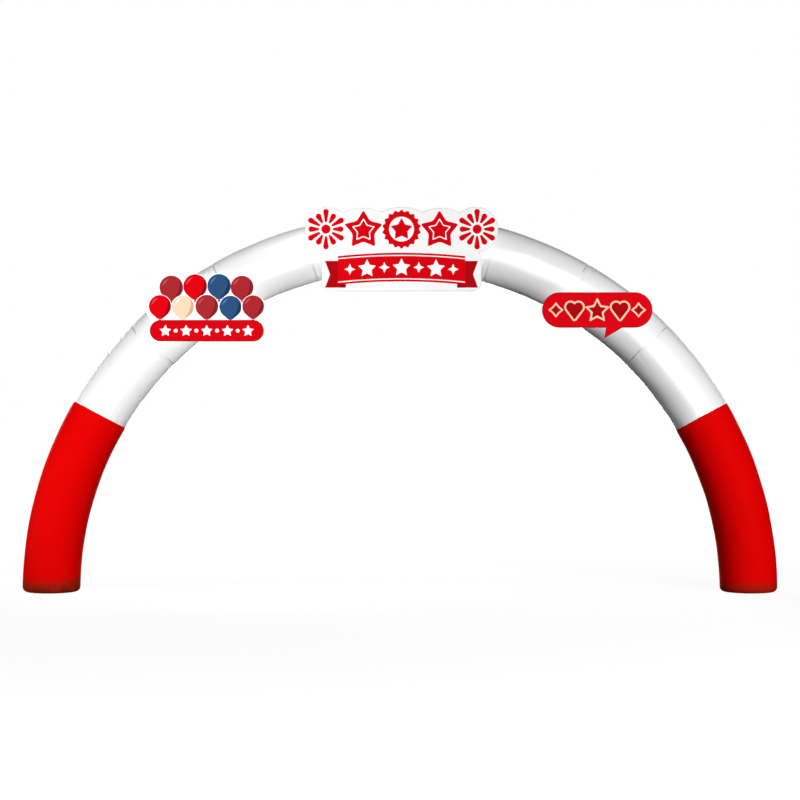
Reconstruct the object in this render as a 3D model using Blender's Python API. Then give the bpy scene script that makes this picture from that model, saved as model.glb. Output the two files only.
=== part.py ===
"""Inflatable arch: a half ring of air tube, sewn from cloth panels, standing on two feet.

The red leg panels and the white crown panels meet at sewn seams, where the cloth draws in.
Four flat, contour-cut foam signs lie against the front of the tube.

Metres, +Z up. +X runs from the left foot to the right foot, and the front faces -Y.
The origin is on the floor, at the bottom centre of the whole arch.
"""

import math

import bpy

# Driving dimensions of the tube, in metres
SPAN = 8.0  # from the outside of one foot to the outside of the other
TUBE_DIAMETER = 0.61
FOOT_ROUND = 0.055  # radius of the rounded edge round each base
FOOT_ROUND_STEPS = 4
TUBE_SIDES = 32
RING_STEP_DEG = 3.75  # along the tube, away from seams and base

# Where the panels end, in degrees round the arch from the left foot's base
SEAM_DEGREES = (30.3, 45.0, 60.0, 75.0, 90.0, 105.0, 120.0, 135.0, 149.7)
ARCH_END_DEG = 180.0

# How a seam draws the cloth in: distance from the seam, and depth below the full tube
SEAM_PROFILE = (
    (0.000, 0.0110),
    (0.012, 0.0062),
    (0.030, 0.0026),
    (0.065, 0.0000),
)

# Driving dimensions of the signs
SIGN_THICKNESS = 0.012
CLEARANCE = 0.0003  # between pieces that touch
ARC_STEP_DEG = 10.0  # along a sign's round edges

# Each sign's contour is a ring of circles, anticlockwise: x, z and radius, from the point
# that the sign is placed by. A radius of 0 is a sharp corner.
CENTRE_SIGN_AT = (0.016, 3.609)  # its middle
CENTRE_SIGN_RING = (
    (-0.737, -0.341, 0.100),  # lower field
    (0.737, -0.341, 0.100),
    (0.737, -0.100, 0.100),
    (0.772, 0.200, 0.240),  # five lobes along the top
    (0.410, -0.020, 0.450),
    (0.000, -0.020, 0.460),
    (-0.410, -0.020, 0.450),
    (-0.772, 0.200, 0.240),
    (-0.737, -0.100, 0.100),
)
BALLOON_SIGN_AT = (-2.019, 2.866)  # the middle of the plate's top edge
BALLOON_SIGN_RING = (
    (-0.450, -0.130, 0.050),  # the strip that lies behind the plate
    (0.450, -0.130, 0.050),
    (0.485, 0.120, 0.140),  # the balloons round the edge
    (0.368, 0.330, 0.142),
    (0.128, 0.345, 0.147),
    (-0.122, 0.338, 0.150),
    (-0.372, 0.322, 0.148),
    (-0.492, 0.118, 0.144),
)
PLATE_AT = (-2.019, 2.754)  # its middle
PLATE_RING = (
    (-0.483, 0.000, 0.112),
    (0.483, 0.000, 0.112),
)
BUBBLE_AT = (2.062, 2.971)  # the middle of its round-ended body
BUBBLE_RING = (
    (-0.392, 0.000, 0.185),
    (0.092, -0.185, 0.000),  # the pointer's root, tip and root
    (0.074, -0.298, 0.000),
    (0.260, -0.185, 0.000),
    (0.392, 0.000, 0.185),
)

# Worked out from the sizes above
TUBE_RADIUS = TUBE_DIAMETER / 2
ARCH_RADIUS = SPAN / 2 - TUBE_RADIUS  # of the tube's centre line
SIGN_LAYER = SIGN_THICKNESS + CLEARANCE
SIGN_LAYERS = 2  # the plate lies on the balloon sign
TUBE_Y = SIGN_LAYERS * SIGN_LAYER / 2  # centres the whole depth on the origin
TUBE_FRONT_Y = TUBE_Y - TUBE_RADIUS

# Colours, linear
WHITE_CLOTH = (0.86, 0.86, 0.87)
RED_CLOTH = (0.72, 0.004, 0.004)
WHITE_FOAM = (0.84, 0.84, 0.84)
RED_FOAM = (0.72, 0.006, 0.010)


def clear_scene():
    for obj in list(bpy.data.objects):
        bpy.data.objects.remove(obj)


def new_material(name, colour, roughness):
    material = bpy.data.materials.new(name)
    material.use_nodes = True
    shader = material.node_tree.nodes["Principled BSDF"]
    shader.inputs["Base Color"].default_value = (*colour, 1.0)
    shader.inputs["Roughness"].default_value = roughness
    shader.inputs["Metallic"].default_value = 0.0
    return material


def add_to(collection, name, data, material):
    obj = bpy.data.objects.new(name, data)
    data.materials.append(material)
    collection.objects.link(obj)
    return obj


# The tube


def degrees_along(distance):
    """The turn round the arch that this distance along the centre line makes."""
    return math.degrees(distance / ARCH_RADIUS)


def seam_rings():
    """(degrees from the seam, tube radius) where a seam draws the cloth in."""
    return [
        (degrees_along(distance + CLEARANCE / 2), TUBE_RADIUS - depth)
        for distance, depth in SEAM_PROFILE
    ]


def foot_rings():
    """(degrees from the base, tube radius) up the rounded edge round the flat base."""
    rings = []
    for step in range(FOOT_ROUND_STEPS + 1):
        turn = math.pi / 2 * step / FOOT_ROUND_STEPS
        height = FOOT_ROUND * (1 - math.cos(turn))
        inset = FOOT_ROUND * (1 - math.sin(turn))
        rings.append((degrees_along(height), TUBE_RADIUS - inset))
    return rings


def panel_rings(start, end):
    """(degrees round the arch, tube radius) along one panel, from its start to its end."""
    first = seam_rings() if start > 0 else foot_rings()
    last = seam_rings() if end < ARCH_END_DEG else foot_rings()
    first = [(start + turn, radius) for turn, radius in first]
    last = [(end - turn, radius) for turn, radius in reversed(last)]
    full_start, full_end = first[-1][0], last[0][0]
    steps = math.ceil((full_end - full_start) / RING_STEP_DEG)
    between = [
        (full_start + (full_end - full_start) * step / steps, TUBE_RADIUS)
        for step in range(1, steps)
    ]
    return first + between + last


def arch_point(degrees):
    turn = math.radians(degrees)
    return (-ARCH_RADIUS * math.cos(turn), TUBE_Y, ARCH_RADIUS * math.sin(turn))


def handle_point(degrees, towards):
    """The Bezier handle that makes a circular arc from one ring towards another."""
    turn = math.radians(degrees)
    reach = ARCH_RADIUS * 4 / 3 * math.tan(math.radians(towards - degrees) / 4)
    x, y, z = arch_point(degrees)
    return (x + reach * math.sin(turn), y, z + reach * math.cos(turn))


def make_panel(collection, name, start, end, material):
    """One cloth panel of the filled tube, its flat ends just clear of its neighbours."""
    rings = panel_rings(start, end)
    curve = bpy.data.curves.new(name, "CURVE")
    curve.dimensions = "3D"
    curve.bevel_depth = TUBE_RADIUS
    curve.bevel_resolution = TUBE_SIDES // 2 - 2
    curve.use_fill_caps = True
    curve.resolution_u = 1
    spline = curve.splines.new("BEZIER")
    spline.bezier_points.add(len(rings) - 1)
    turns = [turn for turn, _ in rings]
    before = [2 * turns[0] - turns[1]] + turns[:-1]
    after = turns[1:] + [2 * turns[-1] - turns[-2]]
    for index, (degrees, radius) in enumerate(rings):
        point = spline.bezier_points[index]
        point.handle_left_type = point.handle_right_type = "FREE"
        point.co = arch_point(degrees)
        point.handle_left = handle_point(degrees, before[index])
        point.handle_right = handle_point(degrees, after[index])
        point.radius = radius / TUBE_RADIUS
    spline.use_smooth = True
    return add_to(collection, name, curve, material)


def make_tube(collection):
    white = new_material("white_cloth", WHITE_CLOTH, 0.55)
    red = new_material("red_cloth", RED_CLOTH, 0.50)
    make_panel(collection, "leg_left", 0.0, SEAM_DEGREES[0], red)
    for number, (start, end) in enumerate(zip(SEAM_DEGREES, SEAM_DEGREES[1:]), 1):
        make_panel(collection, f"crown_panel_{number}", start, end, white)
    make_panel(collection, "leg_right", SEAM_DEGREES[-1], ARCH_END_DEG, red)


# The signs


def arc(circle, start, end):
    """Points anticlockwise along a circle between two angles, or its one point."""
    x, z, radius = circle
    if radius == 0:
        return [(x, z)]
    sweep = (end - start) % math.tau
    steps = math.ceil(sweep / math.radians(ARC_STEP_DEG))
    turns = [start + sweep * step / steps for step in range(steps + 1)]
    return [(x + radius * math.cos(t), z + radius * math.sin(t)) for t in turns]


def outer_join(first, second):
    """The angles at which a contour leaves one circle of its ring and reaches the next.

    Circles that cross meet at their outer crossing, and others have an edge along both.
    """
    gap = (second[0] - first[0], second[1] - first[1])
    along = math.atan2(gap[1], gap[0])
    apart = math.hypot(*gap)
    r1, r2 = first[2], second[2]
    if apart >= r1 + r2:
        turn = math.acos((r1 - r2) / apart)
        return along - turn, along - turn
    turn_1 = math.acos((r1**2 + apart**2 - r2**2) / (2 * r1 * apart))
    turn_2 = math.acos((r2**2 + apart**2 - r1**2) / (2 * r2 * apart))
    return along - turn_1, along + math.pi + turn_2


def ring_contour(ring):
    """The contour round a ring of circles, anticlockwise, with no point twice."""
    joins = [outer_join(a, b) for a, b in zip(ring, ring[1:] + ring[:1])]
    contour = []
    for index, circle in enumerate(ring):
        reached, left = joins[index - 1][1], joins[index][0]
        for point in arc(circle, reached, left):
            if not contour or math.dist(point, contour[-1]) > CLEARANCE:
                contour.append(point)
    return contour


def make_sign(collection, name, ring, at, layer, material):
    """A flat board with this contour, in the given layer from the front of the tube."""
    contour = ring_contour(ring)
    curve = bpy.data.curves.new(name, "CURVE")
    curve.dimensions = "2D"
    curve.fill_mode = "BOTH"
    curve.extrude = SIGN_THICKNESS / 2
    spline = curve.splines.new("POLY")
    spline.use_cyclic_u = True
    spline.points.add(len(contour) - 1)
    for point, (x, z) in zip(spline.points, contour):
        point.co = (x, z, 0.0, 1.0)
    board = add_to(collection, name, curve, material)
    middle_y = TUBE_FRONT_Y - layer * SIGN_LAYER + SIGN_THICKNESS / 2
    board.location = (at[0], middle_y, at[1])
    board.rotation_euler = (math.radians(90), 0.0, 0.0)
    return board


def make_signs(collection):
    white = new_material("white_foam", WHITE_FOAM, 0.45)
    red = new_material("red_foam", RED_FOAM, 0.40)
    make_sign(collection, "sign_centre", CENTRE_SIGN_RING, CENTRE_SIGN_AT, 1, white)
    make_sign(collection, "sign_balloons", BALLOON_SIGN_RING, BALLOON_SIGN_AT, 1, white)
    make_sign(collection, "sign_plate", PLATE_RING, PLATE_AT, 2, red)
    make_sign(collection, "sign_bubble", BUBBLE_RING, BUBBLE_AT, 1, red)


def main():
    clear_scene()
    collection = bpy.data.collections.new("inflatable_arch")
    bpy.context.scene.collection.children.link(collection)
    make_tube(collection)
    make_signs(collection)


main()
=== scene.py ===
"""The dressed inflatable arch: seamed and puckered cloth panels, stitching and printed signs.

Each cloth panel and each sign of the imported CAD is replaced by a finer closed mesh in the
same place. Thin printed pieces lie on the fronts of the signs.

Metres, +Z up. The arch stands along X and its front faces -Y. A place on the tube is given
by its turn, the degrees round the arch from the left foot, and by phi, the angle round the
tube's section in radians: 0 is outward, half of pi is the front, and pi is the inner side.
"""

import math

import bmesh
import bpy
import numpy as np
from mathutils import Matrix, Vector, geometry


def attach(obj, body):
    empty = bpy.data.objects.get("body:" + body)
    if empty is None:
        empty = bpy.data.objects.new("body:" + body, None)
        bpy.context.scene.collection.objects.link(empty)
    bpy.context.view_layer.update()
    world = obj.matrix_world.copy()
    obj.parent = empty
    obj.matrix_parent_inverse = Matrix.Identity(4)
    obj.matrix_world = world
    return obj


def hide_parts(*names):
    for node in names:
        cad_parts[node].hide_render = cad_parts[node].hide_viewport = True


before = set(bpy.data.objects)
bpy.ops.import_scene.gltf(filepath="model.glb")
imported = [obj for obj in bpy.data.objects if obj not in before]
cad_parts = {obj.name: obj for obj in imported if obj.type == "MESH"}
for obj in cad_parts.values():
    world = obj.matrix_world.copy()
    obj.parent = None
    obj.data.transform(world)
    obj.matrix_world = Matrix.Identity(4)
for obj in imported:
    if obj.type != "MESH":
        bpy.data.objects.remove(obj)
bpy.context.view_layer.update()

# The tube, as in the part's source
SPAN = 8.0
TUBE_DIAMETER = 0.61
FOOT_ROUND = 0.055
SEAM_DEGREES = (30.3, 45.0, 60.0, 75.0, 90.0, 105.0, 120.0, 135.0, 149.7)
ARCH_END_DEG = 180.0
CLEARANCE = 0.0003
SIGN_THICKNESS = 0.012

# The signs, as in the part's source: x, z and radius of each circle round a contour
CENTRE_AT = (0.016, 3.609)
CENTRE_RING = (
    (-0.737, -0.341, 0.100),
    (0.737, -0.341, 0.100),
    (0.737, -0.100, 0.100),
    (0.772, 0.200, 0.240),
    (0.410, -0.020, 0.450),
    (0.000, -0.020, 0.460),
    (-0.410, -0.020, 0.450),
    (-0.772, 0.200, 0.240),
    (-0.737, -0.100, 0.100),
)
BALLOON_AT = (-2.019, 2.866)
BALLOON_RING = (
    (-0.450, -0.130, 0.050),
    (0.450, -0.130, 0.050),
    (0.485, 0.120, 0.140),
    (0.368, 0.330, 0.142),
    (0.128, 0.345, 0.147),
    (-0.122, 0.338, 0.150),
    (-0.372, 0.322, 0.148),
    (-0.492, 0.118, 0.144),
)
PLATE_AT = (-2.019, 2.754)
PLATE_RING = (
    (-0.483, 0.000, 0.112),
    (0.483, 0.000, 0.112),
)
BUBBLE_AT = (2.062, 2.971)
BUBBLE_RING = (
    (-0.392, 0.000, 0.185),
    (0.092, -0.185, 0.000),
    (0.074, -0.298, 0.000),
    (0.260, -0.185, 0.000),
    (0.392, 0.000, 0.185),
)

# Worked out from the sizes above
TUBE_RADIUS = TUBE_DIAMETER / 2
ARCH_RADIUS = SPAN / 2 - TUBE_RADIUS  # of the tube's centre line
SIGN_LAYER = SIGN_THICKNESS + CLEARANCE
TUBE_Y = SIGN_LAYER
TUBE_FRONT_Y = TUBE_Y - TUBE_RADIUS

# The cloth's mesh
SIDES = 320  # columns round the tube
ROW_PITCH = 0.022  # along the tube, away from seams
SEAM_ROWS = (
    0.0, 0.0015, 0.003, 0.005, 0.0075, 0.0105, 0.014, 0.0185,
    0.024, 0.031, 0.040, 0.051, 0.064, 0.080, 0.100, 0.122,
)  # distances of the rows from a seam
FOOT_ROWS = 12  # up the rounded edge round a base

# How the seams draw the cloth in
SEAM_DEPTH = 0.0045
SEAM_FADE = 0.013  # the depth falls to a third over this distance
SEAM_FRONT = 0.40  # of the depth, at the front and back
SEAM_REACH = 0.60  # no pucker is felt farther from its seam
SEAM_DUST_AND_SHADE_REACH = 0.007  # the dust and painted shade beside a seam fall to a third over this distance
PUCKERS = 46  # round each seam
SEAM_PUCKER = ((0.005, 0.011), (0.03, 0.13), (0.0005, 0.0026))  # half width, length, depth
FOOT_PUCKERS = 38  # round each base
FOOT_PUCKER = ((0.007, 0.014), (0.03, 0.09), (0.001, 0.004))
PUCKER_JITTER = 0.38  # of the pitch between two puckers
PUCKER_SLANT = 0.35  # at most, as a slope
PUCKER_SHARE = 0.80  # of its depth, at the front and back
PUCKER_INNER = 0.35  # added to that on the inner side, and taken off on the outer
PUCKER_SEED = 300

# Slow unevenness all over the cloth, as a sum of waves
SLACK = 0.0016  # its mean depth
SLACK_WAVES = 9
SLACK_SWING = 1.6  # of all the waves together, as a share of the mean depth
SLACK_TURNS = 7  # a wave repeats fewer times round the tube
SLACK_ALONG = (2.0, 14.0)  # radians of a wave in a metre along the tube
SLACK_SEED = 41

# The seams at the two colour changes slant, as measured in the photograph: each one's turn,
# then its shift along the tube in degrees, all round, on its outer side and at its front
SLANTS = (
    (30.3, 0.185, -0.244, 0.355),
    (149.7, 0.228, 0.167, -0.408),
)
SLANT_REACH = 8.0  # degrees

# Single creases and deeper seam stretches in the photograph: turn and phi in degrees at one
# end, then at the other, then half width and depth in metres
CREASES = (
    (34.1, -34, 34.9, 38, 0.010, 0.0044),
    (36.7, -12, 36.0, 27, 0.009, 0.0030),
    (37.1, -46, 38.2, 21, 0.011, 0.0036),
    (39.8, -22, 39.1, 39, 0.011, 0.0056),
    (40.5, -38, 41.5, 18, 0.009, 0.0034),
    (42.9, -16, 42.3, 32, 0.010, 0.0042),
    (43.3, -30, 43.9, 25, 0.008, 0.0032),
    (44.8, 18, 44.5, 52, 0.006, 0.0085),
    (45.3, 136, 45.1, 172, 0.006, 0.0070),
    (59.3, 20, 59.2, 44, 0.006, 0.0050),
    (60.1, 16, 60.2, 60, 0.006, 0.0085),
    (61.0, 22, 61.3, 44, 0.007, 0.0036),
    (75.1, 112, 75.1, 164, 0.005, 0.0075),
    (75.9, 114, 75.9, 160, 0.006, 0.0040),
    (104.2, 110, 104.4, 160, 0.006, 0.0065),
    (105.0, 116, 105.0, 166, 0.006, 0.0070),
    (119.7, 18, 119.6, 54, 0.006, 0.0080),
    (120.7, 20, 120.9, 40, 0.007, 0.0034),
    (134.8, 164, 134.5, 108, 0.006, 0.0095),
    (135.1, 22, 134.9, 54, 0.006, 0.0078),
    (137.0, -18, 137.7, 33, 0.010, 0.0044),
    (140.6, -26, 139.9, 30, 0.011, 0.0040),
    (142.2, -40, 143.0, 12, 0.010, 0.0032),
)
CREASE_ROW_PITCH = 0.0035
CREASE_TAPER = 0.75  # of a crease's depth is gone at its ends
CREASE_MARGIN_DEG = 1.0  # a crease this far off a panel doesn't reach it
CREASE_DARK = 0.0085  # a crease this deep has its painted shade at its darkest

# Stitches along both sides of each seam
STITCH_PITCH = 0.0070
STITCH_LENGTH = 0.0050
STITCH_RADIUS = 0.00055
STITCH_DISTANCE = 0.0060  # from the seam
STITCH_LIFT = 0.00020  # of its middle above the cloth
STITCH_SIDES = 6
STITCH_SHOULDER = 0.62  # share of its half length at which it is full
STITCH_JITTER = 0.06  # of the pitch, round the tube
STITCH_WANDER = 0.0003  # across the seam

# The boards and their prints
ARC_STEP_DEG = 3.0
FULL_ARC_RADIUS = 0.1  # an arc with a smaller radius has fewer points
CORNER_POINTS = 6
CORNER_SHARE = 0.45  # at most, of an edge beside a rounded corner
CRISP_ANGLE_DEG = 32.0  # a sharper edge than this isn't shaded smooth
BOARD_BEVEL = 0.0012
PRINT_THICKNESS = 0.0006
PRINT_BEVEL = 0.0002
PRINT_GAP = 0.00005  # between a print and what it lies on
EDGE_SHADE_INSET = 0.0015  # of a printed line of painted edge shade, from the board's edge
LINE_GAP = 0.002  # between a cream outline and the dark shape inside it
HEART_INSETS = (0.0, 0.019, 0.021)  # of its outline, its inner edge and the dark shape

# Colours, linear
WHITE_CLOTH = (0.930, 0.930, 0.934)
# darker white for random wear, also the base of the painted shade along seams and in creases
WHITE_CLOTH_WORN_AND_SHADE = (0.872, 0.865, 0.853)
RED_CLOTH = (0.665, 0.0006, 0.0006)
# darker red for random wear, also the base of the painted shade along seams and in creases
RED_CLOTH_WORN_AND_SHADE = (0.580, 0.0008, 0.0006)
WHITE_FINISH = {"specular": 0.30, "coat": 1.0}
RED_FINISH = {"specular": 0.006, "coat": 0.0}
COAT_ROUGHNESS = 0.30
COAT_IOR = 2.1
CLOTH_ROUGHNESS = (0.48, 0.62)
INK_ROUGHNESS = (0.38, 0.50)
WEAVE_PITCH = 0.0011
WEAVE_DEPTH = 0.00012
CREASE_SHADE = 0.35  # times the darker cloth colour, as painted shade deep in a crease
SOIL = (0.300, 0.010, 0.004)
SOIL_DARK = (0.165, 0.013, 0.003)
SOIL_REACH = {"left": (0.165, 1.0), "right": (0.140, 0.75)}  # height and share
PRINT_COLOURS = {
    "white": (0.950, 0.950, 0.950),
    # painted shadow along the centre board's edge
    "grey": (0.660, 0.670, 0.675),
    "red": (0.680, 0.0005, 0.0045),
    "bright_red": (0.710, 0.0005, 0.0060),
    "soft_red": (0.605, 0.0005, 0.0045),
    "deep_red": (0.420, 0.002, 0.005),
    "dark_red": (0.260, 0.003, 0.006),
    "wine": (0.360, 0.020, 0.026),
    "dark_wine": (0.200, 0.012, 0.016),
    "rose": (0.560, 0.080, 0.090),
    "blue": (0.022, 0.075, 0.190),
    "dark_blue": (0.010, 0.038, 0.095),
    "light_blue": (0.080, 0.200, 0.380),
    "cream": (0.820, 0.620, 0.430),
    "dark_cream": (0.640, 0.380, 0.230),
}
FOAM_EDGE = (0.780, 0.780, 0.775)
BOARD_BACK = (0.720, 0.715, 0.700)


# Materials


def set_inputs(tree, made, inputs):
    """Gives each input of a node its value, or links it to another node's output."""
    for name, value in inputs.items():
        if isinstance(value, bpy.types.NodeSocket):
            tree.links.new(value, made.inputs[name])
        else:
            made.inputs[name].default_value = value


def node(tree, kind, inputs=None, **settings):
    """A new node with these inputs and settings."""
    made = tree.nodes.new(kind)
    for name, value in settings.items():
        setattr(made, name, value)
    set_inputs(tree, made, inputs or {})
    return made


def new_material(name, roughness, specular, sheen=0.0, coat=0.0):
    """A material, its node tree and main shader, and the shaded place in the arch."""
    material = bpy.data.materials.new(name)
    material.use_nodes = True
    tree = material.node_tree
    shader = tree.nodes["Principled BSDF"]
    set_inputs(tree, shader, {
        "Roughness": roughness,
        "Specular IOR Level": specular,
        "Sheen Weight": sheen,
        "Coat Weight": coat,
        "Coat Roughness": COAT_ROUGHNESS,
        "Coat IOR": COAT_IOR,
    })
    return material, tree, shader, node(tree, "ShaderNodeTexCoord").outputs["Object"]


def maths(tree, operation, first, second=0.0):
    """The result of one calculation with values or outputs."""
    return node(tree, "ShaderNodeMath", {0: first, 1: second}, operation=operation).outputs[0]


def fade(tree, value, start, end, low=0.0, high=1.0):
    """Goes smoothly from low to high as the value goes from start to end."""
    inputs = {"Value": value, "From Min": start, "From Max": end, "To Min": low, "To Max": high}
    made = node(tree, "ShaderNodeMapRange", inputs, interpolation_type="SMOOTHSTEP")
    return made.outputs["Result"]


def noise(tree, place, scale=1.0, detail=2.0):
    inputs = {"Vector": place, "Scale": scale, "Detail": detail}
    return node(tree, "ShaderNodeTexNoise", inputs).outputs["Fac"]


def stretched(tree, place, scale):
    """The place, scaled by its own amount along each axis."""
    inputs = {"Vector": place, "Scale": scale}
    return node(tree, "ShaderNodeMapping", inputs).outputs["Vector"]


def mix(tree, share, first, second):
    """A mix of two colours, each given as linear values or as an output."""
    colours = (c if isinstance(c, bpy.types.NodeSocket) else (*c, 1.0) for c in (first, second))
    inputs = {0: share, **dict(zip((6, 7), colours))}
    return node(tree, "ShaderNodeMix", inputs, data_type="RGBA").outputs[2]


def bump(tree, height, distance, strength=1.0, below=None):
    inputs = {"Height": height, "Distance": distance, "Strength": strength}
    if below:
        inputs["Normal"] = below
    return node(tree, "ShaderNodeBump", inputs).outputs["Normal"]


def weave(tree):
    """The height of a plain weave, from the cloth's own UV map in metres."""
    cloth = node(tree, "ShaderNodeUVMap", uv_map="cloth").outputs["UV"]
    across = node(tree, "ShaderNodeSeparateXYZ", {"Vector": cloth})
    waves = [
        maths(tree, "SINE", maths(tree, "MULTIPLY", across.outputs[axis], math.pi / WEAVE_PITCH))
        for axis in ("X", "Y")
    ]
    return maths(tree, "MULTIPLY", *waves)


def soiled(tree, place, colour, height, share):
    """The colour with streaks and blotches of earth up from the floor."""
    streaks = noise(tree, stretched(tree, place, (13.0, 13.0, 2.0)), detail=5.0)
    blotches = noise(tree, place, scale=11.0, detail=5.0)
    above_floor = node(tree, "ShaderNodeSeparateXYZ", {"Vector": place}).outputs["Z"]
    ragged = maths(tree, "MULTIPLY", streaks, 0.8 * height)
    reach = maths(tree, "SUBTRACT", above_floor, ragged)
    soil = fade(tree, reach, height * 0.75, -height * 0.05, high=share)
    earth = mix(tree, fade(tree, blotches, 0.42, 0.64), SOIL, SOIL_DARK)
    return mix(tree, soil, colour, earth)


def cloth_material(name, clean, worn_and_shade, finish, soil=None):
    """Coated woven cloth, with dust and painted shade along its seams, painted shade in its
    creases and, where told, soil at its foot.
    """
    material, tree, shader, place = new_material(name, roughness=0.54, **finish)
    seam = node(tree, "ShaderNodeAttribute", attribute_name="seam").outputs["Fac"]
    crease = node(tree, "ShaderNodeAttribute", attribute_name="crease").outputs["Fac"]
    clouds = fade(tree, noise(tree, place, scale=2.2, detail=4.0), 0.42, 0.78, high=0.45)
    patches = fade(tree, noise(tree, place, scale=9.0), 0.2, 0.7, low=0.45)
    # along the seams, dust together with painted shade that draws the seam lines, stronger on the
    # tube's outer and inner sides
    dust_and_shade = maths(tree, "MULTIPLY", seam, patches)
    colour = mix(tree, maths(tree, "MAXIMUM", clouds, dust_and_shade), clean, worn_and_shade)
    # painted shade in the creases, darker the deeper they lie
    crease_shade = tuple(CREASE_SHADE * c for c in worn_and_shade)
    colour = mix(tree, fade(tree, crease, 0.15, 1.0, high=0.8), colour, crease_shade)
    if soil:
        colour = soiled(tree, place, colour, *soil)
    rough = fade(tree, noise(tree, place, scale=5.0, detail=4.0), 0.3, 0.7, *CLOTH_ROUGHNESS)
    soft = bump(tree, noise(tree, place, scale=7.0, detail=3.0), 0.0012, strength=0.6)
    woven = bump(tree, weave(tree), WEAVE_DEPTH, strength=0.5, below=soft)
    set_inputs(tree, shader, {"Base Color": colour, "Roughness": rough, "Normal": woven})
    return material


def thread_material(name, colour):
    """Twisted sewing thread."""
    material, tree, shader, place = new_material(name, roughness=0.6, specular=0.25, sheen=0.1)
    darker = tuple(0.82 * c for c in colour)
    tone = mix(tree, fade(tree, noise(tree, place, scale=160.0), 0.35, 0.65), colour, darker)
    fibres = bump(tree, noise(tree, place, scale=900.0), 0.0002)
    set_inputs(tree, shader, {"Base Color": tone, "Normal": fibres})
    return material


def print_material(name, colour):
    """Ink under a matt film, with a faint grain and a slightly uneven gloss."""
    material, tree, shader, place = new_material(name, roughness=0.42, specular=0.012)
    thin = tuple(0.965 * c + 0.0003 for c in colour)
    grain = fade(tree, noise(tree, place, scale=38.0, detail=6.0), 0.35, 0.75, high=0.8)
    tone = mix(tree, grain, colour, thin)
    rough = fade(tree, noise(tree, place, scale=6.0, detail=3.0), 0.3, 0.7, *INK_ROUGHNESS)
    waves = bump(tree, noise(tree, place, scale=3.5, detail=1.0), 0.0010)
    film = bump(tree, noise(tree, place, scale=420.0), 0.00006, strength=0.6, below=waves)
    set_inputs(tree, shader, {"Base Color": tone, "Roughness": rough, "Normal": film})
    return material


def foam_material(name, colour):
    """The cut edge of foam board, with its small closed cells, whose pits are painted darker as
    shade.
    """
    material, tree, shader, place = new_material(name, roughness=0.75, specular=0.15)
    inputs = {"Vector": place, "Scale": 520.0}
    cells = node(tree, "ShaderNodeTexVoronoi", inputs).outputs["Distance"]
    # the pits of the cells are painted darker, as shade in them
    dents = tuple(0.84 * c for c in colour)
    tone = mix(tree, fade(tree, cells, 0.2, 0.8), dents, colour)
    set_inputs(tree, shader, {"Base Color": tone, "Normal": bump(tree, cells, 0.0004)})
    return material


def backing_material(name, colour):
    """The paper back of foam board, with fibres and soft dents."""
    material, tree, shader, place = new_material(name, roughness=0.8, specular=0.12)
    stained = tuple(c * s for c, s in zip(colour, (0.93, 0.91, 0.87)))
    stains = fade(tree, noise(tree, place, scale=4.0, detail=4.0), 0.45, 0.75)
    tone = mix(tree, stains, colour, stained)
    dents = bump(tree, noise(tree, place, scale=9.0, detail=1.0), 0.0012)
    fibres = noise(tree, stretched(tree, place, (60.0, 60.0, 260.0)), detail=4.0)
    paper = bump(tree, fibres, 0.0002, strength=0.5, below=dents)
    set_inputs(tree, shader, {"Base Color": tone, "Normal": paper})
    return material


# Pieces


def new_object(name, data):
    """An object in the scene with this mesh, light or camera."""
    made = bpy.data.objects.new(name, data)
    bpy.context.scene.collection.objects.link(made)
    return made


def add_piece(mesh, node_name=None, shadow=True):
    """The mesh as a piece of the arch, in the place of a CAD node where one is named."""
    piece = new_object(mesh.name, mesh)
    piece.visible_shadow = shadow
    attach(piece, "root")
    if node_name:
        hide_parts(node_name)
    return piece


def new_mesh(name, vertices, faces, materials):
    mesh = bpy.data.meshes.new(name)
    mesh.from_pydata(vertices, [], faces)
    for material in materials:
        mesh.materials.append(material)
    return mesh


# The cloth


def arc_distance(turn):
    """Distance along the tube's centre line for a turn in degrees."""
    return np.radians(turn) * ARCH_RADIUS


def arc_turn(distance):
    """The turn in degrees for a distance along the tube's centre line."""
    return np.degrees(distance / ARCH_RADIUS)


def around(angle):
    """The same angle between -pi and pi."""
    return (angle + np.pi) % (2 * np.pi) - np.pi


def puckers(seed, count, widths, lengths, depths):
    """Random puckers round a seam: phi, half width, length and depth, and a slant."""
    random = np.random.default_rng(seed)
    jitter = random.uniform(-PUCKER_JITTER, PUCKER_JITTER, count)
    phi = (np.arange(count) + jitter) * 2 * np.pi / count
    width = random.uniform(*widths, count)
    length = random.uniform(*lengths, count)
    depth = depths[0] + (depths[1] - depths[0]) * random.uniform(0, 1, count) ** 2
    depth *= PUCKER_SHARE - PUCKER_INNER * np.cos(phi)
    slant = random.uniform(-PUCKER_SLANT, PUCKER_SLANT, count)
    return np.stack((phi, width, length, depth, slant), 1)


def pucker_inset(distance, phi, table):
    """Troughs that run away from a seam, and fade and widen as they go."""
    inset = np.zeros_like(distance)
    for middle, width, length, depth, slant in table:
        aside = around(phi - middle) * TUBE_RADIUS - slant * distance
        spread = width * (1 + distance / length)
        inset += depth * np.exp(-((aside / spread) ** 2) - distance / length)
    return inset


def seam_share(phi):
    """How much a seam draws in, from 1 on the tube's outer and inner sides."""
    return SEAM_FRONT + (1 - SEAM_FRONT) * np.cos(phi) ** 2


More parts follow.
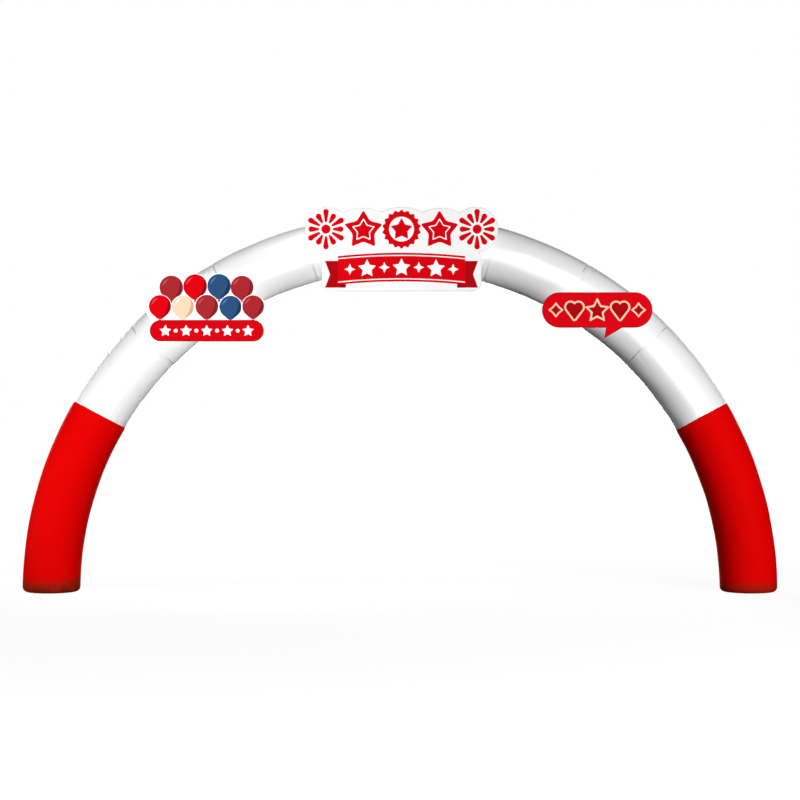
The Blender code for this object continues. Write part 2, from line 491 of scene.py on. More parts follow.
def seam_inset(number, distance, phi):
    """The dip along one seam, with its puckers. Before the seam, the distance is negative."""
    inset = SEAM_DEPTH * seam_share(phi) * np.exp(-np.abs(distance) / SEAM_FADE)
    seed = PUCKER_SEED + 2 * number
    shared = puckers(seed, PUCKERS, *SEAM_PUCKER)
    other = puckers(seed + 1, PUCKERS, *SEAM_PUCKER)
    other[:, (0, 1, 3)] = shared[:, (0, 1, 3)]  # both sides meet at the seam itself
    for table, side in ((shared, distance < 0), (other, distance >= 0)):
        inset[side] += pucker_inset(np.abs(distance[side]), phi[side], table)
    return inset


def foot_inset(number, height, phi):
    """The rounded edge round a base, gathered where the base is sewn on."""
    below = np.clip(FOOT_ROUND - height, 0.0, FOOT_ROUND)
    inset = FOOT_ROUND - np.sqrt(FOOT_ROUND**2 - below**2)
    table = puckers(PUCKER_SEED - 1 - number, FOOT_PUCKERS, *FOOT_PUCKER)
    return inset + pucker_inset(height, phi, table)


def slack_inset(distance, phi):
    """Slow, shallow unevenness all over the tube."""
    random = np.random.default_rng(SLACK_SEED)
    height = SLACK / SLACK_WAVES * SLACK_SWING
    inset = np.full(distance.shape, SLACK)
    for _ in range(SLACK_WAVES):
        round_it, along = random.integers(0, SLACK_TURNS), random.uniform(*SLACK_ALONG)
        shift = random.uniform(0, 2 * np.pi)
        inset += height * np.cos(round_it * phi + along * distance + shift)
    return np.maximum(inset, 0.0)


def crease_inset(turn, phi, crease):
    """One straight crease, deepest in the middle."""
    turn_1, phi_1, turn_2, phi_2, width, depth = crease
    middle = math.radians((phi_1 + phi_2) / 2)
    stretch = 1 + TUBE_RADIUS * math.cos(middle) / ARCH_RADIUS
    start = np.array((arc_distance(turn_1) * stretch, math.radians(phi_1) * TUBE_RADIUS))
    end = np.array((arc_distance(turn_2) * stretch, math.radians(phi_2) * TUBE_RADIUS))
    run = end - start
    along = arc_distance(turn) * stretch - start[0]
    aside = (middle + around(phi - middle)) * TUBE_RADIUS - start[1]
    share = (along * run[0] + aside * run[1]) / (run @ run)
    nearest = np.clip(share, 0.0, 1.0)
    apart = np.hypot(along - nearest * run[0], aside - nearest * run[1])
    taper = 1 - CREASE_TAPER * np.abs(2 * nearest - 1) ** 3
    return depth * taper * np.exp(-((apart / width) ** 2))


def all_creases_inset(turn, phi):
    """The depth of the single creases at these places."""
    turn, phi = (np.array(a) for a in np.broadcast_arrays(turn, phi))
    inset = np.zeros(turn.shape)
    low, high = turn.min() - CREASE_MARGIN_DEG, turn.max() + CREASE_MARGIN_DEG
    for crease in CREASES:
        if low < crease[0] < high:
            inset += crease_inset(turn, phi, crease)
    return inset


def cloth_inset(turn, phi):
    """How far the cloth lies below the full tube at these places, never less than nothing."""
    turn, phi = (np.array(a) for a in np.broadcast_arrays(turn, phi))
    inset = slack_inset(arc_distance(turn), phi) + all_creases_inset(turn, phi)
    for number, height in enumerate((arc_distance(turn), arc_distance(ARCH_END_DEG - turn))):
        near = height < SEAM_REACH
        inset[near] += foot_inset(number, height[near], phi[near])
    for number, seam in enumerate(SEAM_DEGREES):
        distance = arc_distance(turn - seam)
        near = np.abs(distance) < SEAM_REACH
        inset[near] += seam_inset(number, distance[near], phi[near])
    return inset


def slanted(turn, phi):
    """The turn of a place, moved along where a seam near it is slanted."""
    moved_turn = turn
    for seam, everywhere, outside, front in SLANTS:
        shift = everywhere + outside * np.cos(phi) + front * np.sin(phi)
        moved_turn = moved_turn + shift * np.exp(-(((turn - seam) / SLANT_REACH) ** 2))
    return moved_turn


def cloth_points(turn, phi):
    """Places on the cloth as points, with x, y and z along the last axis."""
    radius = TUBE_RADIUS - cloth_inset(turn, phi)
    turn = np.radians(slanted(turn, phi))
    out = ARCH_RADIUS + radius * np.cos(phi)
    height = TUBE_Y - radius * np.sin(phi)
    return np.stack(np.broadcast_arrays(-out * np.cos(turn), height, out * np.sin(turn)), -1)


def crease_rows(start, length):
    """Distances along a panel of the rows across its creases, close enough to show them."""
    rows = []
    for turn_1, _, turn_2, _, width, _ in CREASES:
        low, high = (arc_distance(turn - start) for turn in sorted((turn_1, turn_2)))
        low, high = max(low - 2 * width, 0.0), min(high + 2 * width, length)
        if low < high:
            rows += np.arange(low, high, CREASE_ROW_PITCH).tolist()
    return rows


def row_turns(start, end):
    """The turns of a panel's rows, close together at its seams and round its base."""
    seam_rows = np.array(SEAM_ROWS) + CLEARANCE / 2
    quarter = np.linspace(0, math.pi / 2, FOOT_ROWS)
    above = seam_rows[seam_rows > ROW_PITCH]
    foot_rows = np.concatenate((FOOT_ROUND * (1 - np.cos(quarter)), FOOT_ROUND + above))
    first = seam_rows if start > 0 else foot_rows
    last = seam_rows if end < ARCH_END_DEG else foot_rows
    length = arc_distance(end - start)
    steps = math.ceil((length - first[-1] - last[-1]) / ROW_PITCH)
    between = np.linspace(first[-1], length - last[-1], steps + 1)[1:-1]
    rows = np.concatenate((first, between, length - last[::-1]))
    for row in crease_rows(start, length):
        if np.abs(rows - row).min() > CREASE_ROW_PITCH / 2:
            rows = np.append(rows, row)
    return start + arc_turn(np.sort(rows))


def grid_faces(rows, columns):
    """Quads of a closed tube of rows, then a fan over each end, and how many are quads."""
    index = np.arange(rows * columns).reshape(rows, columns)
    after = np.roll(index, -1, axis=1)
    quads = np.stack((index[:-1], after[:-1], after[1:], index[1:]), -1).reshape(-1, 4)
    start = [(rows * columns, b, a) for a, b in zip(index[0], after[0])]
    end = [(rows * columns + 1, a, b) for a, b in zip(index[-1], after[-1])]
    return quads.tolist() + start + end, len(quads)


def cloth_uvs(turns, phis):
    """The UV of each corner of each quad, in metres round and along the tube."""
    round_it = np.append(phis, 2 * np.pi) * TUBE_RADIUS
    along = arc_distance(turns)
    u, v = np.meshgrid(round_it, along)
    place = np.stack((u, v), -1)
    corners = (place[:-1, :-1], place[:-1, 1:], place[1:, 1:], place[1:, :-1])
    return np.stack(corners, 2).reshape(-1, 2)


def make_panel(name, start, end, material):
    """One cloth panel of the filled tube, as a closed mesh."""
    turns = row_turns(start, end)
    phis = np.arange(SIDES) * 2 * np.pi / SIDES - np.pi / 2
    points = cloth_points(turns[:, None], phis[None])
    centres = points[[0, -1]].mean(axis=1)
    faces, quads = grid_faces(len(turns), SIDES)
    vertices = np.concatenate((points.reshape(-1, 3), centres))
    mesh = new_mesh(f"{name}_cloth", vertices.tolist(), faces, [material])
    mesh.polygons.foreach_set("use_smooth", np.arange(len(faces)) < quads)
    uvs = np.zeros((len(mesh.loops), 2))
    uvs[: 4 * quads] = cloth_uvs(turns, phis)
    mesh.uv_layers.new(name="cloth").data.foreach_set("uv", uvs.ravel())
    # the seam attribute sets the dust and painted shade along each seam
    nearest = np.abs(turns[:, None] - np.array(SEAM_DEGREES)).min(axis=1)
    closeness = np.exp(-((arc_distance(nearest) / SEAM_DUST_AND_SHADE_REACH) ** 2))
    closeness = np.append(np.outer(closeness, seam_share(phis)), (1.0, 1.0))
    mesh.attributes.new("seam", "FLOAT", "POINT").data.foreach_set("value", closeness)
    # the crease attribute sets the painted shade in the creases
    creased = all_creases_inset(turns[:, None], phis[None]) / CREASE_DARK
    creased = np.append(np.clip(creased, 0.0, 1.0).ravel(), (0.0, 0.0))
    mesh.attributes.new("crease", "FLOAT", "POINT").data.foreach_set("value", creased)
    piece = add_piece(mesh, node_name=name)


# Stitches


def stitch_shape():
    """The points and faces of one stitch along the first axis, with its height last."""
    half, radius, sides = STITCH_LENGTH / 2, STITCH_RADIUS, STITCH_SIDES
    points = [(-half, 0.0, -radius), (half, 0.0, -radius)]
    for end in (-STITCH_SHOULDER, STITCH_SHOULDER):
        for step in range(sides):
            turn = math.tau * step / sides
            points.append((end * half, radius * math.cos(turn), radius * math.sin(turn)))
    faces = []
    for step in range(sides):
        a, b = 2 + step, 2 + (step + 1) % sides
        faces += [(0, b, a), (a, b, b + sides, a + sides), (1, a + sides, b + sides)]
    return np.array(points), faces


def stitch_places(seam, side):
    """Turn and phi of the stitches along one side of a seam, evenly round it."""
    count = int(2 * math.pi * TUBE_RADIUS / STITCH_PITCH)
    random = np.random.default_rng(PUCKER_SEED + int(10 * seam) + side)
    jitter = random.uniform(-STITCH_JITTER, STITCH_JITTER, count)
    phi = (np.arange(count) + jitter) * 2 * np.pi / count
    distance = STITCH_DISTANCE + random.uniform(-STITCH_WANDER, STITCH_WANDER, count)
    return seam + side * arc_turn(distance), phi


def make_stitches(panel, start, end, material):
    """The stitches of one panel, along each of its seams, joined into one piece."""
    shape, shape_faces = stitch_shape()
    sides = [(seam, side) for seam, side in ((start, 1), (end, -1)) if seam in SEAM_DEGREES]
    places = [stitch_places(seam, side) for seam, side in sides]
    turn, phi = (np.concatenate(values) for values in zip(*places))
    half, nudge = STITCH_LENGTH / 2 / TUBE_RADIUS, 0.02  # of phi, and of the turn in degrees
    across = cloth_points(turn, phi + half) - cloth_points(turn, phi - half)
    along = cloth_points(turn + nudge, phi) - cloth_points(turn - nudge, phi)
    up = np.cross(across, along)
    across, up = (a / np.linalg.norm(a, axis=1, keepdims=True) for a in (across, up))
    aside = np.cross(up, across)
    axes = np.stack((across, aside, up), 1)
    middle = cloth_points(turn, phi) + up * STITCH_LIFT
    vertices = (middle[:, None] + shape @ axes).reshape(-1, 3)
    firsts = np.arange(len(turn)) * len(shape)
    faces = [tuple(corner + first for corner in face) for first in firsts for face in shape_faces]
    mesh = new_mesh(f"stitches_{panel}", vertices.tolist(), faces, [material])
    mesh.shade_smooth()
    add_piece(mesh)


def make_tube():
    white = cloth_material("white_cloth", WHITE_CLOTH, WHITE_CLOTH_WORN_AND_SHADE, WHITE_FINISH)
    reds = [
        cloth_material(f"red_cloth_{side}", RED_CLOTH, RED_CLOTH_WORN_AND_SHADE, RED_FINISH, soil)
        for side, soil in SOIL_REACH.items()
    ]
    white_thread = thread_material("white_thread", WHITE_CLOTH)
    red_thread = thread_material("red_thread", RED_CLOTH)
    ends = (0.0, *SEAM_DEGREES, ARCH_END_DEG)
    last = len(ends) - 2
    for number, (start, end) in enumerate(zip(ends, ends[1:])):
        if number in (0, last):
            name = "leg_left" if number == 0 else "leg_right"
            cloth, thread, slot = reds[number == last], red_thread, "red_cloth"
        else:
            name = f"crown_panel_{number}"
            cloth, thread, slot = white, white_thread, "white_cloth"
        make_panel(name, start, end, cloth)
        make_stitches(name, start, end, thread)


# Flat shapes, as loops of (x, z) anticlockwise


def arc(circle, start, end):
    """Points anticlockwise along a circle between two angles, or its one point."""
    x, z, radius = circle
    if radius == 0:
        return [(x, z)]
    sweep = (end - start) % math.tau
    share = min(1.0, radius / FULL_ARC_RADIUS) ** 0.5
    steps = max(math.ceil(sweep / math.radians(ARC_STEP_DEG) * share), 2)
    turns = [start + sweep * step / steps for step in range(steps + 1)]
    return [(x + radius * math.cos(t), z + radius * math.sin(t)) for t in turns]


def outer_join(first, second):
    """The angles at which a contour leaves one circle of its ring and reaches the next."""
    gap = (second[0] - first[0], second[1] - first[1])
    along = math.atan2(gap[1], gap[0])
    apart = math.hypot(*gap)
    r1, r2 = first[2], second[2]
    if apart >= r1 + r2:
        turn = math.acos((r1 - r2) / apart)
        return along - turn, along - turn
    turn_1 = math.acos((r1**2 + apart**2 - r2**2) / (2 * r1 * apart))
    turn_2 = math.acos((r2**2 + apart**2 - r1**2) / (2 * r2 * apart))
    return along - turn_1, along + math.pi + turn_2


def ring_contour(ring):
    """The contour round a ring of circles, anticlockwise, with no point twice."""
    joins = [outer_join(a, b) for a, b in zip(ring, ring[1:] + ring[:1])]
    contour = []
    for index, circle in enumerate(ring):
        for point in arc(circle, joins[index - 1][1], joins[index][0]):
            if not contour or math.dist(point, contour[-1]) > CLEARANCE:
                contour.append(point)
    if math.dist(contour[0], contour[-1]) <= CLEARANCE:
        contour.pop()
    return contour


def hull_of_two(first, second):
    """The contour round two circles, with an edge along both on each side."""
    away = math.atan2(second[1] - first[1], second[0] - first[0])
    turn = math.acos((first[2] - second[2]) / math.dist(first[:2], second[:2]))
    return arc(first, away + turn, away - turn) + arc(second, away - turn, away + turn)


def inset_loop(loop, distance):
    """The loop moved to its left by a distance, which is inward where it is anticlockwise."""
    points = np.array(loop)
    edges = np.roll(points, -1, 0) - points
    edges /= np.linalg.norm(edges, axis=1, keepdims=True)
    normals = np.stack((-edges[:, 1], edges[:, 0]), 1)
    both = normals + np.roll(normals, 1, 0)
    mitre = 2 * both / np.maximum((both**2).sum(1, keepdims=True), 0.25)
    return [tuple(p) for p in points + distance * mitre]


def rounded(loop, radius):
    """The loop with its corners rounded off."""
    points = np.array(loop)
    done = []
    for before, corner, after in zip(np.roll(points, 1, 0), points, np.roll(points, -1, 0)):
        back, on = before - corner, after - corner
        start = corner + back * min(CORNER_SHARE, radius / np.linalg.norm(back))
        end = corner + on * min(CORNER_SHARE, radius / np.linalg.norm(on))
        for share in np.linspace(0, 1, CORNER_POINTS):
            point = start * (1 - share) ** 2 + corner * 2 * share * (1 - share) + end * share**2
            done.append(tuple(point))
    return done


def disc(x, z, radius, count=40):
    turns = (math.tau * step / count for step in range(count))
    return [(x + radius * math.cos(t), z + radius * math.sin(t)) for t in turns]


def star(x, z, radius, waist, points=5):
    """A star whose inner corners are at a share of its radius."""
    loop = []
    for step in range(2 * points):
        reach = radius * (waist if step % 2 else 1.0)
        angle = math.pi / 2 + math.pi * step / points
        loop.append((x + reach * math.cos(angle), z + reach * math.sin(angle)))
    return loop


def hole(loop):
    return loop[::-1]


def crescent(x, z, radius, start, end, thickness, count=24):
    """A sliver inside a circle's edge between two angles in degrees."""
    turns = np.radians(np.linspace(start, end, count))
    inner = radius - thickness * np.sin(np.linspace(0, math.pi, count))
    outside = [(x + radius * math.cos(t), z + radius * math.sin(t)) for t in turns]
    inside = [(x + r * math.cos(t), z + r * math.sin(t)) for t, r in zip(turns, inner)]
    return outside + inside[-2:0:-1]


def heart(x, z, size, inset):
    """A heart from two lobes and a rounded point."""
    lobe, point = 0.52 * size - inset, 0.20 * size - inset
    aside, above = 0.32 * size, z + 0.24 * size
    ring = ((x - aside, above, lobe), (x, z - 0.72 * size, point), (x + aside, above, lobe))
    return ring_contour(ring)


# Boards and prints


def plate_mesh(name, loops, front, back, bevel, back_bevel, materials):
    """A flat closed plate between two places along Y. Holes are clockwise loops.

    The first material is for the front, the next for the edges and the last for the back.
    """
    vertices, faces, fronts, backs = [], [], [], []
    lips = [inset_loop(loop, bevel) for loop in loops]
    for loop, lip in zip(loops, lips):
        levels = [(lip, front), (loop, front + bevel)]
        levels += [(loop, back - bevel), (lip, back)] if back_bevel else [(loop, back)]
        first, count = len(vertices), len(loop)
        for level, y in levels:
            vertices += [(x, y, z) for x, z in level]
        for ring in range(len(levels) - 1):
            a = first + ring * count
            for i in range(count):
                j = (i + 1) % count
                faces.append((a + i, a + count + i, a + count + j, a + j))
        fronts += range(first, first + count)
        backs += range(len(vertices) - count, len(vertices))
    kinds = [1] * len(faces)
    flat = [[Vector((*p, 0.0)) for p in lip] for lip in lips]
    points = [p for loop in flat for p in loop]
    for corners in geometry.tessellate_polygon(flat):
        a, b, c = (points[i] for i in corners)
        if (b - a).cross(c - a).z < 0:
            corners = corners[::-1]
        faces.append(tuple(fronts[i] for i in corners))
        faces.append(tuple(backs[i] for i in corners[::-1]))
        kinds += [0, 2]
    mesh = new_mesh(name, vertices, faces, materials)
    mesh.polygons.foreach_set("material_index", [min(k, len(materials) - 1) for k in kinds])
    return mesh


def join_meshes(name, meshes):
    """One mesh from several that share their materials."""
    vertices, faces = [], []
    materials = list(meshes[0].materials)
    for mesh in meshes:
        first = len(vertices)
        vertices += [tuple(v.co) for v in mesh.vertices]
        faces += [tuple(first + i for i in face.vertices) for face in mesh.polygons]
        bpy.data.meshes.remove(mesh)
    return new_mesh(name, vertices, faces, materials)


def finish_plate(mesh):
    """Leaves no sliver triangles, and shades round edges smooth and corners crisp."""
    work = bmesh.new()
    work.from_mesh(mesh)
    triangles = [face for face in work.faces if len(face.verts) == 3]
    inner = [edge for edge in work.edges if all(len(f.verts) == 3 for f in edge.link_faces)]
    bmesh.ops.beautify_fill(work, faces=triangles, edges=inner)
    work.to_mesh(mesh)
    work.free()
    mesh.shade_smooth()
    mesh.set_sharp_from_angle(angle=math.radians(CRISP_ANGLE_DEG))


def moved(loop, at):
    """The loop from a sign's own place to its place in the arch."""
    return [(x + at[0], z + at[1]) for x, z in loop]


class Sign:
    """A board and the prints on its front, which cast no shadow on the tube close behind.

    Its layer is counted from the tube, as is the level of each print from the board.
    """

    def __init__(self, name, ring, at, layer, slot, materials, inks):
        self.name, self.at, self.slot, self.inks = name, at, slot, inks
        self.back = TUBE_FRONT_Y - CLEARANCE - (layer - 1) * SIGN_LAYER
        self.front = self.back - SIGN_THICKNESS
        self.contour = ring_contour(ring)
        loop = moved(self.contour, at)
        depth = (self.front, self.back)
        mesh = plate_mesh(f"{name}_board", [loop], *depth, BOARD_BEVEL, True, materials)
        finish_plate(mesh)
        add_piece(mesh, node_name=name, shadow=False)

    def paint(self, level, colour, shapes, part="print"):
        """Prints shapes, each a loop and its holes, in one colour."""
        back = self.front - PRINT_GAP - (level - 1) * (PRINT_THICKNESS + PRINT_GAP)
        front = back - PRINT_THICKNESS
        name = f"{self.name}_{part}_{level}_{colour}"
        ink = [self.inks[colour]]
        meshes = []
        for shape in shapes:
            loops = [moved(loop, self.at) for loop in shape]
            meshes.append(plate_mesh(name, loops, front, back, PRINT_BEVEL, False, ink))
        mesh = join_meshes(name, meshes)
        finish_plate(mesh)
        add_piece(mesh, shadow=False)


def firework(x, z, radius, rays=12):
    """Rays round a small disc, long and short in turn, as separate shapes."""
    shapes = [[disc(x, z, 0.23 * radius)]]
    for step in range(rays):
        turn = math.pi / 2 + math.tau * step / rays
        reach = radius * (0.88 if step % 2 == 0 else 0.74)
        circles = ((0.40 * radius, 0.060 * radius), (reach, 0.140 * radius))
        ray = [(x + out * math.cos(turn), z + out * math.sin(turn), r) for out, r in circles]
        shapes.append([hull_of_two(*ray)])
    return shapes


def nested_star(x, z, radius):
    """A star with a line cut out of it, as two shapes."""
    outline, line, core = (star(x, z, radius * share, waist=0.56) for share in (1.0, 0.60, 0.50))
    return [[rounded(outline, 0.030), hole(rounded(line, 0.012))], [rounded(core, 0.010)]]


def badge(x, z, radius):
    """A toothed ring round a star, as two shapes."""
    teeth = rounded(star(x, z, radius, waist=0.86, points=18), 0.012)
    core = rounded(star(x, z - 0.02 * radius, 0.58 * radius, waist=0.54), 0.010)
    return [[teeth, hole(disc(x, z, 0.625 * radius))], [core]]


def edge_shade_line(sign, inner):
    """A printed line of painted shade just inside a board's edge, as far in as its inner edge."""
    return [inset_loop(sign.contour, EDGE_SHADE_INSET), hole(inset_loop(sign.contour, inner))]


def ribbon_band(half, bottom, top, rise):
    """The loop of a ribbon's front, which rises to its middle."""
    xs = np.linspace(-half, half, 33)
    lift = rise * (1 - (xs / half) ** 2)
    low = [(x, bottom + up) for x, up in zip(xs, lift)]
    high = [(x, top + up) for x, up in zip(xs, lift)]
    return low + high[::-1]


def both_sides(loop, radius):
    """The loop and its mirror image, with rounded corners, as two shapes."""
    mirror = [(-x, z) for x, z in reversed(loop)]
    return [[rounded(side, radius)] for side in (loop, mirror)]


def centre_design(sign):
    """Fireworks, stars and a badge in a row above a ribbon, inside a thin pale line of painted
    shadow along the board's edge.
    """
    row, radius, aside = 0.207, 0.208, 0.790
    red = firework(-aside, row, radius) + firework(aside, row, radius) + badge(0.0, row, radius)
    row, radius, aside = 0.195, 0.212, 0.398
    red += nested_star(-aside, row, radius) + nested_star(aside, row, radius)
    sign.paint(1, "red", red)
    # a thin pale line of painted shadow just inside the board's edge
    sign.paint(1, "grey", [edge_shade_line(sign, 0.0065)])

    half, bottom, top, rise = 0.665, -0.375, -0.075, 0.035
    low, high, behind = -0.405, -0.125, 0.58
    tail = [(behind, low), (0.800, low), (0.748, -0.266), (0.800, high), (behind, high)]
    fold = [(half, bottom + 0.004), (0.588, bottom + 0.012), (0.588, low)]
    sign.paint(1, "deep_red", both_sides(tail, 0.008))
    sign.paint(2, "dark_red", both_sides(fold, 0.003))
    sign.paint(3, "red", [[rounded(ribbon_band(half, bottom, top, rise), 0.006)]])

    line_half, near, far = half - 0.002, 0.022, 0.033  # of the lines along its edges
    lines = ((bottom + near, bottom + far), (top - far, top - near))
    white = [[ribbon_band(line_half, *line, rise)] for line in lines]
    for step in range(-3, 4):
        x = 0.180 * step
        z = (bottom + top) / 2 + rise * (1 - (x / half) ** 2)
        large = star(x, z - 0.006, 0.098, waist=0.50)
        small = star(x, z, 0.058, waist=0.42, points=4)
        white.append([rounded(large if step % 2 == 0 else small, 0.007)])
    sign.paint(4, "white", white)


# x, z, radius, colour, and row from the back
BALLOONS = (
    (-0.372, 0.340, 0.123, "wine", 1),
    (-0.122, 0.354, 0.124, "red", 1),
    (0.128, 0.358, 0.122, "blue", 1),
    (0.368, 0.344, 0.119, "wine", 1),
    (-0.490, 0.144, 0.116, "red", 2),
    (-0.249, 0.138, 0.115, "cream", 2),
    (0.000, 0.144, 0.119, "wine", 2),
    (0.247, 0.138, 0.115, "blue", 2),
    (0.484, 0.144, 0.114, "wine", 2),
)
BALLOON_LEVELS = {1: 1, 2: 5}  # of the balloons of each row
BALLOON_EDGE = 0.007
SHADES = {"wine": "dark_wine", "red": "dark_red", "blue": "dark_blue", "cream": "dark_cream"}
HIGHLIGHTS = {"wine": "rose", "red": "rose", "blue": "light_blue", "cream": "white"}


def balloon(x, z, radius):
    """A balloon's outline with its neck, and its knot."""
    body = hull_of_two((x, z, radius), (x, z - 0.72 * radius, 0.46 * radius))
    top = z - 1.10 * radius
    half, low = 0.17 * radius, top - 0.26 * radius
    return body, rounded([(x - half, low), (x + half, low), (x, top)], 0.03 * radius)


def balloon_design(sign):
    """Two rows of balloons, each with a shaded side and a highlight."""
    for row in (1, 2):
        shapes = {"edge": [], "body": {}, "shade": {}, "light": {}}
        for x, z, radius, colour, at_row in BALLOONS:
            if at_row != row:
                continue
            body, knot = balloon(x, z, radius)
            shapes["edge"].append([inset_loop(body, -BALLOON_EDGE)])
            shapes["body"].setdefault(colour, []).extend(([body], [knot]))
            shade = crescent(x, z, 0.97 * radius, -88, 52, 0.30 * radius)
            shapes["shade"].setdefault(SHADES[colour], []).append([shade])
            light = crescent(x, z, 0.78 * radius, 104, 172, 0.13 * radius)
            shapes["light"].setdefault(HIGHLIGHTS[colour], []).append([light])
        level = BALLOON_LEVELS[row]
        if row == 2:  # it lies on the first row, and has white edges
            sign.paint(level - 1, "white", shapes["edge"])
        for part in ("body", "shade", "light"):
            for colour, group in shapes[part].items():
                sign.paint(level if part == "body" else level + 1, colour, group, part)


def plate_design(sign):
    """A row of white stars and dots inside a darker red line of painted shade along the board's
    edge.
    """
    sign.paint(1, "deep_red", [edge_shade_line(sign, 0.011)])
    white = []
    for step in range(-4, 5):
        x = 0.108 * step
        if step % 2 == 0:
            white.append([rounded(star(x, -0.003, 0.064, waist=0.50), 0.006)])
        else:
            white.append([disc(x, 0.0, 0.020)])
    sign.paint(1, "white", white)


def outlined(loop, line, radii):
    """A star's outline, of a line's width, and the star inside it, with rounded corners."""
    loops = (loop, inset_loop(loop, line), inset_loop(loop, line + LINE_GAP))
    outline, inside, core = (rounded(*pair) for pair in zip(loops, radii))
    return [outline, hole(inside)], [core]


def bubble_design(sign):
    """Outlined hearts, a star and diamonds inside a darker red line of painted shade along the
    board's edge.
    """
    figures = []
    for x in (-0.238, 0.238):
        outline, inside, core = (heart(x, 0.0, 0.128, inset) for inset in HEART_INSETS)
        figures.append(([outline, hole(inside)], [core]))
    figures.append(outlined(star(0.0, -0.008, 0.140, waist=0.50), 0.019, (0.018, 0.010, 0.009)))
    for x in (-0.432, 0.432):
        diamond = star(x, 0.0, 0.082, waist=0.62, points=4)
        figures.append(outlined(diamond, 0.017, (0.010, 0.006, 0.005)))
    sign.paint(1, "cream", [outline for outline, _ in figures])
    sign.paint(1, "deep_red", [edge_shade_line(sign, 0.009)] + [core for _, core in figures])


def make_signs():
    inks = {name: print_material(f"ink_{name}", colour) for name, colour in PRINT_COLOURS.items()}
    edge = foam_material("foam_edge", FOAM_EDGE)
    # the red boards' edges are darker red: partly their print wrap, partly painted shade along
    # the edge
    shaded_red_edge = foam_material("foam_edge_red_shaded", PRINT_COLOURS["deep_red"])
    back = backing_material("board_back", BOARD_BACK)
    white = [inks["white"], edge, back]
    soft, bright = ([inks[name], shaded_red_edge, back] for name in ("soft_red", "bright_red"))
    centre_design(Sign("sign_centre", CENTRE_RING, CENTRE_AT, 1, "white_board", white, inks))
    balloon_design(Sign("sign_balloons", BALLOON_RING, BALLOON_AT, 1, "white_board", white, inks))
    plate_design(Sign("sign_plate", PLATE_RING, PLATE_AT, 2, "red_board", soft, inks))
    bubble_design(Sign("sign_bubble", BUBBLE_RING, BUBBLE_AT, 1, "red_board", bright, inks))


# The setting

CAMERA_AT = (0.0, -22.0, 2.03)
CAMERA_LENS = 93.4
CAMERA_SENSOR = 36.0
CAMERA_CLIP_END = 1000.0
ARCH_MIDDLE = (0.0, 0.0, 2.0)
FLOOR_SIZE = 400.0
FLOOR_COLOUR = (0.20, 0.20, 0.20)
FLOOR_GLOW = 0.90  # of the floor near the arch, where it also takes light and shadow
FLOOR_FADE = (5.0, 14.0)  # distances between which the floor turns white
AMBIENT = 0.03

# All powers but the three back boxes' start from a fit to the photograph's brightness.
# Name, place, size across and power in watts of each soft box, turned to the arch's middle
SOFT_BOXES = (
    ("behind_camera", (0.0, -22.0, 3.0), 18.0, 2000.0),
    ("front_right", (12.0, -16.0, 3.0), 4.0, 1780.0),
    ("back", (0.0, 16.0, 3.0), 9.0, 1900.0),
    ("back_left", (-9.0, 12.0, 4.0), 5.0, 350.0),
    ("back_right", (9.0, 12.0, 4.0), 5.0, 100.0),
)
# Name, place, aim, size across, power, cone in degrees and its edge's softness. Those on
# the left light mostly the left half.
SPOTS = (
    ("right", (10.0, -10.0, 2.0), (1.0, 0.0, 2.0), 1.6, 1300.0, 80.0, 0.2),
    ("right_high", (4.14, -7.79, 6.83), (2.3, 0.0, 2.3), 2.5, 440.0, 44.0, 0.4),
    ("left_back", (-12.0, 0.0, 1.5), (-4.0, 0.4, 2.0), 1.6, 1030.0, 50.0, 1.0),
    ("left_side", (-9.0, -3.0, 1.5), (-3.8, 1.0, 2.2), 1.6, 580.0, 50.0, 1.0),
    ("left_low", (-6.0, -6.0, 0.8), (-3.6, 0.0, 1.4), 1.6, 770.0, 50.0, 1.0),
    ("left_top", (-1.5, -1.5, 8.0), (-1.8, 0.0, 3.2), 1.4, 520.0, 60.0, 1.0),
    ("left_crown", (-1.0, -6.0, 0.4), (-1.8, 0.0, 3.0), 1.6, 515.0, 44.0, 1.0),
)


def make_camera():
    """The camera at the photograph's viewing angle."""
    camera = new_object("camera", bpy.data.cameras.new("camera"))
    camera.data.lens = CAMERA_LENS
    camera.data.sensor_width = CAMERA_SENSOR
    camera.data.clip_end = CAMERA_CLIP_END
    camera.location = CAMERA_AT
    camera.rotation_euler = (math.radians(90), 0.0, 0.0)
    bpy.context.scene.camera = camera


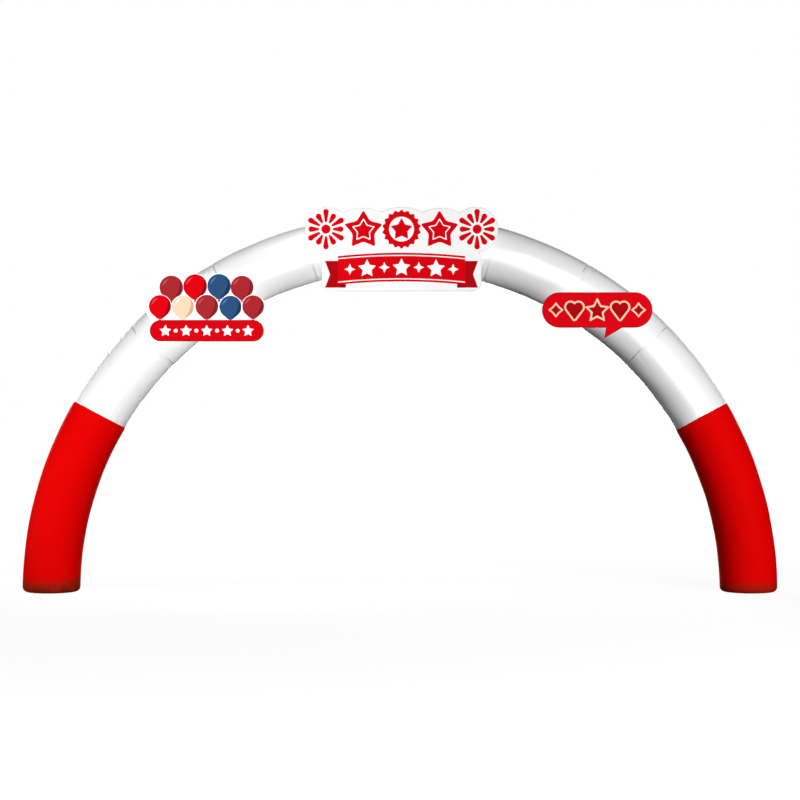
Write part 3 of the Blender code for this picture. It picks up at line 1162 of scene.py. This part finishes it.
def add_light(kind, name, at, aim, power):
    """A light that isn't seen itself, turned to a point."""
    light = new_object(name, bpy.data.lights.new(name, kind))
    light.data.energy = power
    light.location = at
    light.rotation_euler = (Vector(aim) - Vector(at)).to_track_quat("-Z", "Y").to_euler()
    light.visible_camera = False
    return light.data


def make_lights():
    for name, at, size, power in SOFT_BOXES:
        box = add_light("AREA", name, at, ARCH_MIDDLE, power)
        box.shape = "DISK"
        box.size = size
    for name, at, aim, size, power, cone, softness in SPOTS:
        spot = add_light("SPOT", name, at, aim, power)
        spot.shadow_soft_size = size / 2
        spot.spot_size = math.radians(cone)
        spot.spot_blend = softness


def make_floor():
    """A pale floor that is white far off, and shows soft shadows near the arch."""
    half = FLOOR_SIZE / 2
    corners = [(-half, -half, 0.0), (half, -half, 0.0), (half, half, 0.0), (-half, half, 0.0)]
    material = bpy.data.materials.new("floor")
    material.use_nodes = True
    tree = material.node_tree
    tree.nodes.clear()
    place = node(tree, "ShaderNodeTexCoord").outputs["Object"]
    away = node(tree, "ShaderNodeVectorMath", {0: place}, operation="LENGTH").outputs["Value"]
    strength = fade(tree, away, *FLOOR_FADE, low=FLOOR_GLOW)
    glow = node(tree, "ShaderNodeEmission", {"Strength": strength})
    matt = node(tree, "ShaderNodeBsdfDiffuse", {"Color": (*FLOOR_COLOUR, 1.0)})
    both = node(tree, "ShaderNodeAddShader", {0: glow.outputs[0], 1: matt.outputs[0]})
    node(tree, "ShaderNodeOutputMaterial", {"Surface": both.outputs[0]})
    floor = new_object("floor", new_mesh("floor", corners, [(0, 1, 2, 3)], [material]))
    floor.visible_diffuse = False
    floor.visible_glossy = False


def make_world():
    """White where it is seen, and a weak even light otherwise."""
    world = bpy.data.worlds.new("world")
    world.use_nodes = True
    tree = world.node_tree
    seen = node(tree, "ShaderNodeLightPath").outputs["Is Camera Ray"]
    strength = fade(tree, seen, 0.0, 1.0, low=AMBIENT)
    inputs = {"Color": (1.0, 1.0, 1.0, 1.0), "Strength": strength}
    set_inputs(tree, tree.nodes["Background"], inputs)
    bpy.context.scene.world = world


def main():
    make_tube()
    make_signs()
    make_camera()
    make_lights()
    make_floor()
    make_world()
    bpy.context.scene.view_settings.view_transform = "Standard"


main()
